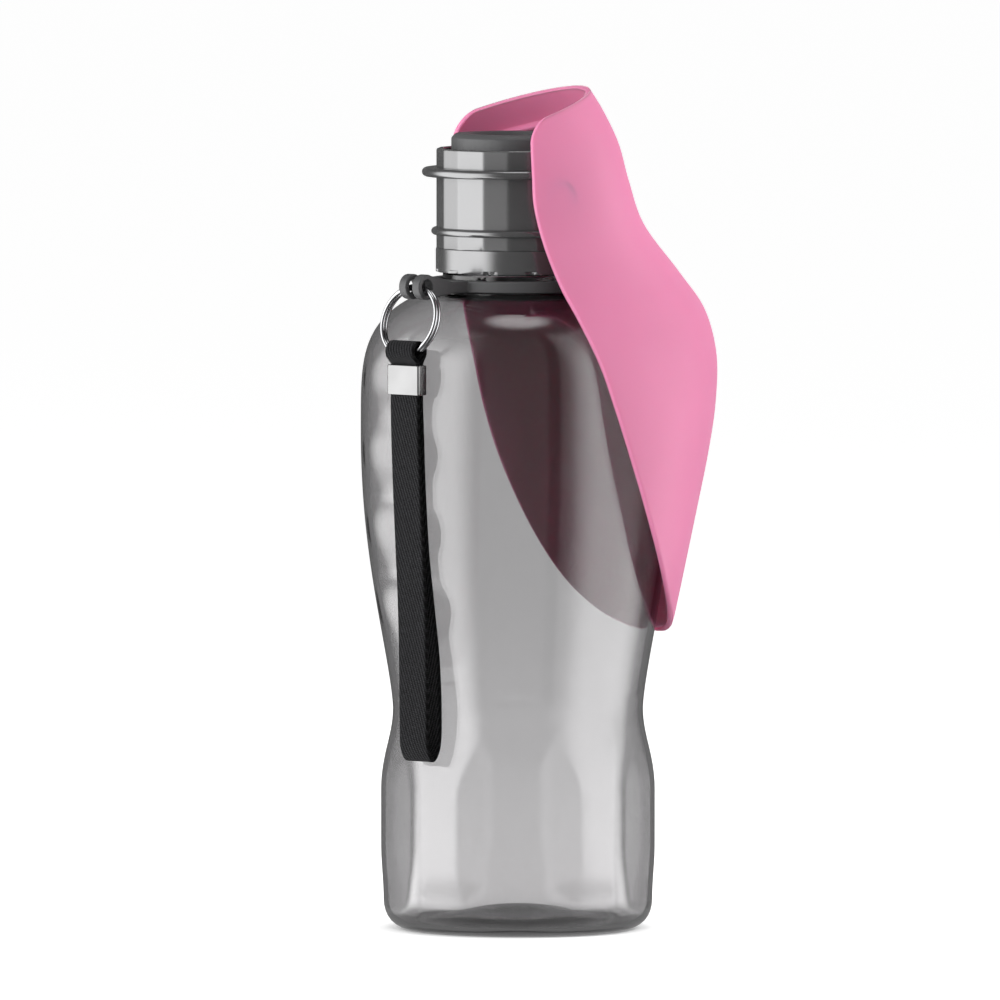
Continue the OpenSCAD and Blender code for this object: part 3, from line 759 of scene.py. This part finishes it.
class BOTTLE_OT_leaf(bpy.types.Operator):
    """Leaf-shaped drinking bowl with its hood, ledge and pivot bosses"""

    bl_idname = "dog_bottle.leaf"
    bl_label = "Leaf bowl"

    def execute(self, context):
        patches = leaf_shell() + [pivot_boss(-1), pivot_boss(1)]
        leaf = make("leaf_shell", patches, "leaf", "pink_plastic", ["leaf_bowl"], sharp=55)
        outward(leaf)
        return {"FINISHED"}


# ------------------------ cap

FACETS, CORNER_R = 18, 23.7     # flats of the barrel, and the radius to their corners
SKIRT_R, NOTCHES = 23.8, 12
RING_SEAT = 22.92               # where the grip rings sit on the barrel

# Outline of the barrel, [radius, height], up the outside and down the inside. Its faceted part
# has the flats' radius, and is [height, depth behind them]
SKIRT = [[21.4, 190.75], [21.65, 190.5], [23.5, 190.5], [23.72, 190.6], [23.8, 190.8],
         [23.8, 191.3], [23.8, 191.5], [23.8, 197.0], [23.76, 197.25], [23.66, 197.36]]
FLAT_ROWS = [[197.4, 0.12], [197.7, 0], [201.16, 0], [201.18, 0.8], [203.42, 0.8], [203.44, 0],
             [210, 0], [218.06, 0], [218.08, 0.8], [220.72, 0.8], [220.74, 0], [225.7, 0],
             [225.95, 0.06], [226.15, 0.2], [226.27, 0.42]]
RIM_AND_DECK = [[22.6, 226.3], [21.9, 226.3], [21.6, 226.22], [21.42, 226.0], [21.4, 225.6],
                [21.4, 207.2], [21.2, 206.9], [10.4, 206.9], [10.2, 206.7], [10.2, 204.6],
                [10.4, 204.4], [21.2, 204.4], [21.4, 204.2]]


def barrel_shell():
    """Round skirt with notches in its foot, then flats with just-broken corners up to the rim.

    A flat's radius is its distance from the axis over cos of the turn from its middle, and each
    is the soft minimum of its own and its neighbour's."""
    half = np.pi / FACETS
    local = half * np.sin(np.linspace(-0.5, 0.5, 15)[:-1] * np.pi)
    middle = (np.arange(FACETS) + 0.5) * 2 * half
    angle = (middle[:, None] + local[None, :]).ravel()[None, :]
    apothem = CORNER_R * np.cos(half)
    own = (angle / (2 * half)) % 1 - 0.5
    facet = apothem / np.cos(own * 2 * half)
    beside = apothem / np.cos((1 - np.abs(own)) * 2 * half)
    flat = soft_min(facet, beside, 0.22)
    low, flats, high = (np.array(rows) for rows in (SKIRT, FLAT_ROWS, RIM_AND_DECK))
    radius = np.concatenate([low[:, :1] + 0 * angle, flat - flats[:, 1:], high[:, :1] + 0 * angle])
    z = np.concatenate([low[:, 1:], flats[:, :1], high[:, 1:]])
    # notches 0.75 mm deep in the foot's outer edge
    step = TURN / NOTCHES
    to_notch = ((angle / step) % 1 - 0.5) * step * SKIRT_R
    notch = 0.75 * ease((1.35 - np.abs(to_notch)) / 0.4) * ease((191.45 - z) / 0.15)
    radius = radius - np.where(radius > 23.4, notch, 0)
    return patch(turned(radius, z, angle), loop_cols=True, loop_rows=True)


def trunnion(side):
    """Stub on the barrel that the leaf's cheek turns against, bored for its pin"""
    outline = rounded(
        [[0, 22.2], [2.22, 22.2], [2.22, 25.85], [4.8, 25.85], [4.8, 22.0], [0, 22.0]],
        [0, 0, 0.15, 0.3, 0, 0])
    return on_pivot(outline, side, side < 0, closed=False)


def grip_ring(radius, thick, z):
    """Ring round the barrel with a half-round outer edge"""
    around, half = np.linspace(-np.pi / 2, np.pi / 2, 13), thick / 2
    edge = np.stack([radius - half + half * np.cos(around), z + half * np.sin(around)], 1)
    return revolve(np.concatenate([[[RING_SEAT, z - half]], edge, [[RING_SEAT, z + half]]]), 216)


class BOTTLE_OT_cap(bpy.types.Operator):
    """Cap barrel with its flats, trunnions and two grip rings, and the knob of the valve"""

    bl_idname = "dog_bottle.cap"
    bl_label = "Cap"

    def execute(self, context):
        barrel = make("cap_shell", [barrel_shell(), trunnion(-1), trunnion(1)],
                      "cap", "cap_plastic", ["cap_barrel"], sharp=32)
        outward(barrel)
        for name, node, radius, thick, z in (
                ("wide_ring", "upper_grip_ring", 27.8, 2.6, CAP_TOP - 6.9),
                ("narrow_ring", "lower_grip_ring", 25.1, 2.2, CAP_Z + 11.8)):
            ring = grip_ring(radius, thick, z)
            outward(make(name, [ring], "cap", "cap_plastic", [node], sharp=40))
        soften("twist_knob", "valve_knob", "knob", "knob_plastic", 0.3, 3)
        soften("seat_turret", "valve_seat", "cap", "cap_plastic", 0.2)
        return {"FINISHED"}


# ------------------------ hanger, ring and strap


def on_hanger(out, side, z):
    """A point given as distance outwards, sideways and height, in the part's frame"""
    c, s = math.cos(HANGER_AZ), math.sin(HANGER_AZ)
    return np.stack([out * c - side * s, out * s + side * c, z + 0 * out], -1)


def ring_wire():
    """Two turns of wire side by side that cross over once, with domed ends: a circle of the
    wire's radius square to a circle that shifts by the gap while it crosses"""
    wire, gap = sizes().wire / MM, 1.24
    turn = np.linspace(*np.radians([-4, 716]), 300)
    cross = ease((turn - np.radians(338)) / np.radians(44))
    centre = np.stack([gap * (cross - 0.5), -RING_R * np.sin(turn), -RING_R * np.cos(turn)], 1)
    way = unit(np.gradient(centre, axis=0))
    flat = np.tile([1.0, 0, 0], (len(turn), 1))
    flat = unit(flat - way * np.sum(flat * way, 1, keepdims=True))
    rise = np.cross(way, flat)
    around = np.arange(20)[None, :, None] * TURN / 20
    cap = np.sin(np.linspace(0, np.pi / 2, 6))[:, None]
    size = np.concatenate([cap, np.ones((len(turn) - 12, 1)), cap[::-1]])[:, :, None]
    section = np.cos(around) * flat[:, None] + np.sin(around) * rise[:, None]
    tube = centre[:, None] + wire * size * section
    c, s = math.cos(RING_TILT), math.sin(RING_TILT)
    # the ring's plane leans out from the ears' hole
    x, y, z = tube[..., 0], tube[..., 1], tube[..., 2] - RING_R
    middle = on_hanger(EAR[0] + x * c - z * s, y, EAR[1] + x * s + z * c)
    return patch(middle, loop_cols=True)


def strap_line(count):
    """Centre line of the strap's loop, [outwards, height]: down the outer leg, up the inner one
    and round the ring's wire"""
    half_width, half_thick, half_pitch, play = STRAP_W / 2, STRAP_T / 2, 0.6, 0.15
    # over its width the strap meets the ring's curve, which rises by this much
    rise = RING_R - math.sqrt(RING_R**2 - (half_width + STRAP_OFF)**2)
    wrap = math.hypot(half_pitch, rise / 2) + WIRE_R + play + half_thick
    centre = RING_LOW + rise / 2 * np.array([-math.sin(RING_TILT), math.cos(RING_TILT)])
    top = CLIP_Z + CLIP_H
    heights = [top + 0.4, top - 1.8, top - 5, CLIP_Z - 0.2, CLIP_Z - 3.2]
    # inwards from each leg, and height
    low = [(0.2, 145), (0.9, 130), (2.0, 112), (3.0, 95), (3.5, 78), (3.7, 63), (4.0, 55),
           (6.2, 51.2), (8.7, 55), (9.2, 64), (8.4, 80), (6.0, 97)]
    back = [(2.5, 112), (1.1, 130), (0.4, 145)]
    bend = np.radians(np.arange(220, -41, -26))
    points = np.concatenate([
        [(LEG_OUT, h) for h in heights], [(LEG_OUT - d, h) for d, h in low],
        [(LEG_IN - d, h) for d, h in back], [(LEG_IN, h) for h in heights[::-1]],
        centre + wrap * np.stack([np.cos(bend), np.sin(bend)], 1)])
    fine = spline(points, np.linspace(0, len(points), 4000, endpoint=False), closed=True)
    step = np.linalg.norm(np.roll(fine, -1, 0) - fine, axis=1)
    far = np.concatenate([[0], np.cumsum(step)])
    even = np.linspace(0, far[-1], count, endpoint=False)
    loop = np.vstack([fine, fine[:1]])
    return np.stack([np.interp(even, far, loop[:, k]) for k in (0, 1)], 1), far[-1]


def strap_band():
    """Flat webbing carried round the loop, with soft selvedges; U is length and V width"""
    count = 520
    line, length = strap_line(count)
    width, thick = sizes().strap_width / MM, sizes().strap_thick / MM
    way = unit(np.roll(line, -1, 0) - np.roll(line, 1, 0))
    out = np.stack([way[:, 1], -way[:, 0]], 1)
    soft = thick * 0.42
    section = rounded([[-width / 2, -thick / 2], [width / 2, -thick / 2],
                       [width / 2, thick / 2], [-width / 2, thick / 2]], soft, 4)
    across = np.linspace(-width / 2 + soft, width / 2 - soft, 14)[1:-1]
    lower = np.stack([across, np.full(12, -thick / 2)], 1)
    upper = np.stack([across[::-1], np.full(12, thick / 2)], 1)
    # rounded gives five points to a corner
    section = np.concatenate([section[:5], lower, section[5:15], upper, section[15:]])
    side, lift = section[:, 0], section[:, 1]
    run = np.arange(count)[:, None] * length / count
    # the selvedge threads bulge a little at each pick
    pick, on_edge = 1.1, np.abs(side) > width / 2 - soft
    side = side[None, :] * (1 - 0.006 * (1 + np.cos(run * TURN / pick)) * on_edge)
    place = line[:, None, :] + out[:, None, :] * lift[None, :, None]
    points = on_hanger(place[..., 0], STRAP_OFF + side, place[..., 1])
    points = np.concatenate([points, points[:1]])
    side = np.concatenate([side, side[:1]])
    run = np.concatenate([run, [[length]]])
    uv = np.stack([(run + 0 * side) / 10, side / width], -1).reshape(-1, 2)
    return patch(points, loop_cols=True, uv=uv)


def clip_sleeve():
    """Sheet metal folded round both legs, with rounded folds and broken edges"""
    depth, width = LEG_OUT - LEG_IN + STRAP_T, STRAP_W
    middle = (LEG_IN + LEG_OUT) / 2
    # how far the sheet stands off the webbing, and height from the sleeve's nearer end
    broken = ((0.69, 0.35), (0.64, 0.14), (0.52, 0.04), (0.39, 0.0), (0.26, 0.04), (0.14, 0.14),
              (0.09, 0.35))
    rows = []
    for more, z in broken + tuple((more, CLIP_H - z) for more, z in broken[::-1]):
        x, y = depth / 2 + more, width / 2 + more
        outline = rounded([[x, -y], [x, y], [-x, y], [-x, -y]], 0.35 + 0.6 * more, 8)
        rows.append(on_hanger(middle + outline[:, 0], STRAP_OFF + outline[:, 1],
                              CLIP_Z + z + 0 * outline[:, 0]))
    return patch(np.stack(rows), loop_rows=True, loop_cols=True)


class BOTTLE_OT_strap(bpy.types.Operator):
    """Wrist strap of twill webbing, its metal clip, the split ring and the hanger's collar"""

    bl_idname = "dog_bottle.strap"
    bl_label = "Wrist strap and ring"

    def execute(self, context):
        for name, surface, body, slot, node, sharp in (
                ("strap_loop", strap_band(), "strap", "webbing", "wrist_strap", 75),
                ("strap_sleeve", clip_sleeve(), "strap", "clip_metal", "strap_clip", 40),
                ("key_ring", ring_wire(), "ring", "chrome", "split_ring", 80)):
            outward(make(name, [surface], body, slot, [node], sharp))
        soften("collar_arm", "hanger_collar", "hanger", "knob_plastic", 0.45, 3)
        return {"FINISHED"}


# ------------------------ small parts and stage

# The studio's azimuth 0 is on the viewer's side of the X-Z plane, turning to the right. A gloss
# sees tall soft lights (azimuth, half width at full strength and at none, radiance), one light
# overhead, a dim level between them, more where a ray was turned inside the clear wall, and the
# floor beside the foot
STRIPS = ((-102, 25, 48, 3.4), (57, 15, 44, 2.7))
OVERHEAD, DIM, INSIDE, NEAR_FLOOR = 3.2, 0.13, 0.5, 0.35
# What a dull surface gets from all sides, straight and through the clear wall, and how much
# the floor is lifted towards white
AMBIENT, THROUGH, FLOOR_LIFT = 0.52, 1.1, 0.57
# Lamps: azimuth, elevation, distance, width, height, power
LAMPS = {
    "left_box": (-110, 20, 1.1, 0.5, 0.8, 0.6), "right_box": (92, 25, 1.1, 0.5, 0.8, 8.5),
    "top_box": (-24, 72, 1.2, 0.7, 0.7, 2.0), "front_box": (-80, 20, 1.2, 0.5, 0.5, 7.5),
}
LAMP_TARGET = (0, 0, 0.13)
# Camera: azimuth, elevation, distance, width of its view at the target, and the target
VIEW_AZ, VIEW_UP, VIEW_FAR, VIEW_WIDTH = -24, 3.54, 6.0, 0.2895
AIM_RIGHT, AIM_Z = -0.0052, 0.1242

SMALL = {
    "neck_gasket": "seal_rubber", "face_seal": "seal_rubber", "stem_o_ring": "black_rubber",
    "vent_valve": "seal_rubber", "stem_clip": "steel",
    "pivot_pin_left": "steel", "pivot_pin_right": "steel",
    "pivot_washer_left": "bush_plastic", "pivot_washer_right": "bush_plastic",
    "pivot_bush_left": "bush_plastic", "pivot_bush_right": "bush_plastic",
}


class BOTTLE_OT_small(bpy.types.Operator):
    """Gives the seals, pins, bushes and washers their finish"""

    bl_idname = "dog_bottle.small"
    bl_label = "Small parts"

    def execute(self, context):
        for node, slot in SMALL.items():
            obj = bpy.data.objects[node]
            obj.data.materials.clear()
            obj.data.materials.append(material(slot))
        return {"FINISHED"}


def all_round(nodes, way):
    """What a gloss sees in a direction: dim, with tall soft lights that fade upwards and a small
    round one overhead. Each is a smooth step of cos of the angle to its middle, which is taken
    level for the tall ones."""
    level = nodes.vectors("NORMALIZE", nodes.vectors("MULTIPLY", way, (1, 1, 0)))
    glow = None
    for azimuth, near, far, strength in STRIPS:
        facing = nodes.vectors("DOT_PRODUCT", level, tuple(direction(azimuth)), out="Value")
        strip = facing.step(math.cos(math.radians(far)), math.cos(math.radians(near))) * strength
        glow = strip if glow is None else glow + strip
    height = nodes.split(way).part("Z")
    top = height.step(math.cos(math.radians(17)), math.cos(math.radians(5)))
    # a ray that was turned inside the wall and has left it again finds more light behind it
    inside = light_path(nodes, "Is Transmission Ray") * INSIDE
    return glow * (1 - height.step(0.3, 0.8)) + top * OVERHEAD + inside + DIM


def light_path(nodes, name):
    return nodes.add("ShaderNodeLightPath", out=name)


def seen(nodes):
    """1 for a ray from the lens that has met nothing dull yet, else 0"""
    first = 1 - light_path(nodes, "Diffuse Depth").maths("MINIMUM", 1.0)
    camera, gloss, clear = (
        light_path(nodes, f"Is {kind} Ray") for kind in ("Camera", "Glossy", "Transmission"))
    return camera.maths("MAXIMUM", gloss).maths("MAXIMUM", clear) * first


def reflected(nodes):
    """1 for such a ray that a gloss has turned at least once, before or inside a clear wall"""
    return light_path(nodes, "Glossy Depth").maths("MINIMUM", 1.0) * seen(nodes)


def floor_material():
    """White floor that keeps the shadow; a gloss that looks slightly down meets it far away, and
    so sees the same all-round light in it as in the world"""
    mat = bpy.data.materials.new("floor")
    nodes = Nodes(mat)
    nodes.tree.nodes.remove(nodes.tree.nodes["Principled BSDF"])
    diffuse = nodes.add("ShaderNodeBsdfDiffuse", inputs={"Color": (0.80, 0.80, 0.80, 1)})
    # the lift fades where the foot stands, a painted contact shadow, so that the floor stays dark
    # against it
    reach = nodes.vectors("LENGTH", nodes.place(), out="Value")
    lift = nodes.add("ShaderNodeEmission", inputs={
        "Strength": seen(nodes) * reach.step(0.026, 0.044) * FLOOR_LIFT})
    both = nodes.add("ShaderNodeAddShader", inputs={0: diffuse, 1: lift})
    # close to the foot a gloss sees the plain floor, and further out what stands beyond it
    far = reach.step(0.055, 0.13)
    gloss = nodes.add("ShaderNodeEmission", inputs={
        "Strength": far * all_round(nodes, nodes.place()) + (1 - far) * NEAR_FLOOR})
    nodes.output("Material", nodes.add("ShaderNodeMixShader", inputs={
        0: reflected(nodes), 1: both, 2: gloss}))
    mat.cycles.emission_sampling = "NONE"
    return mat


def light_world():
    """White where it is seen straight or through a clear wall, all-round light in a gloss, and a
    plain soft level where it lights"""
    world = bpy.data.worlds.new("studio")
    nodes = Nodes(world)
    way = nodes.add("ShaderNodeTexCoord", out="Generated")
    mirrored = reflected(nodes)
    # brighter where it reaches a dull surface through the clear wall, which keeps the lamps off it
    lit = light_path(nodes, "Is Transmission Ray") * (THROUGH - AMBIENT) + AMBIENT
    white = seen(nodes) * (1 - lit) + lit
    strength = mirrored * all_round(nodes, way) + (1 - mirrored) * white
    nodes.output("World", nodes.add("ShaderNodeBackground", inputs={
        "Color": (1, 1, 1, 1), "Strength": strength}))
    # only rays that leave a surface find the world, so each kind of ray meets its own level
    world.cycles.sampling_method = "NONE"
    bpy.context.scene.world = world


def direction(azimuth, elevation=0):
    """Unit vector towards an azimuth and elevation in degrees"""
    a, e = math.radians(azimuth), math.radians(elevation)
    return Vector((math.sin(a) * math.cos(e), -math.cos(a) * math.cos(e), math.sin(e)))


def stand(name, data, azimuth, elevation, distance, target):
    """A lamp or camera that stands in a direction from its target and looks at it"""
    obj = bpy.data.objects.new(name, data)
    bpy.context.scene.collection.objects.link(obj)
    place = Vector(target) + distance * direction(azimuth, elevation)
    turn = (place - Vector(target)).normalized().to_track_quat("Z", "Y")
    obj.matrix_world = Matrix.Translation(place) @ turn.to_matrix().to_4x4()
    return obj


def softbox(name, azimuth, elevation, distance, width, height, power):
    """Rectangular lamp that no gloss or clear wall shows"""
    lamp = bpy.data.lights.new(name, "AREA")
    lamp.shape, lamp.size, lamp.size_y, lamp.energy = "RECTANGLE", width, height, power
    obj = stand(name, lamp, azimuth, elevation, distance, LAMP_TARGET)
    obj.visible_glossy = obj.visible_transmission = False


class BOTTLE_OT_stage(bpy.types.Operator):
    """Pale floor, soft studio light and the camera"""

    bl_idname = "dog_bottle.stage"
    bl_label = "Stage"

    def execute(self, context):
        scene = context.scene
        mesh = bpy.data.meshes.new("floor")
        reach = 12.0
        corners = [(-reach, -reach, 0), (reach, -reach, 0), (reach, reach, 0), (-reach, reach, 0)]
        mesh.from_pydata(corners, [], [(0, 1, 2, 3)])
        floor = bpy.data.objects.new("floor", mesh)
        floor.data.materials.append(floor_material())
        scene.collection.objects.link(floor)
        light_world()
        for name, place_and_size in LAMPS.items():
            softbox(name, *place_and_size)
        camera = bpy.data.cameras.new("camera")
        camera.sensor_width, camera.lens = 36, 36 * VIEW_FAR / VIEW_WIDTH
        camera.clip_end = 100
        target = direction(VIEW_AZ + 90) * AIM_RIGHT + Vector((0, 0, AIM_Z))
        scene.camera = stand("camera", camera, VIEW_AZ, VIEW_UP, VIEW_FAR, target)
        scene.view_settings.view_transform = "Standard"
        return {"FINISHED"}


STEPS = (BOTTLE_OT_stage, BOTTLE_OT_strap, BOTTLE_OT_body, BOTTLE_OT_leaf, BOTTLE_OT_cap,
         BOTTLE_OT_small)


class BOTTLE_PT_panel(bpy.types.Panel):
    """Lists the settings and the pieces"""

    bl_idname = "BOTTLE_PT_panel"
    bl_label = "Dog bottle"
    bl_space_type = "VIEW_3D"
    bl_region_type = "UI"
    bl_category = "Dog bottle"

    def draw(self, context):
        for group in (context.scene.dog_bottle_sizes, context.scene.dog_bottle_finish):
            box = self.layout.box()
            for name in group.bl_rna.properties.keys():
                if name not in ("rna_type", "name"):
                    box.prop(group, name)
        for step in STEPS:
            self.layout.operator(step.bl_idname)


CLASSES = (BottleSizes, BottleFinish, *STEPS, BOTTLE_PT_panel)


def register():
    for cls in CLASSES:
        bpy.utils.register_class(cls)
    bpy.types.Scene.dog_bottle_sizes = PointerProperty(type=BottleSizes)
    bpy.types.Scene.dog_bottle_finish = PointerProperty(type=BottleFinish)


def unregister():
    del bpy.types.Scene.dog_bottle_finish
    del bpy.types.Scene.dog_bottle_sizes
    for cls in reversed(CLASSES):
        bpy.utils.unregister_class(cls)


def main():
    register()
    for step in STEPS:
        group, name = step.bl_idname.split(".")
        getattr(getattr(bpy.ops, group), name)()


if __name__ == "__main__":
    main()
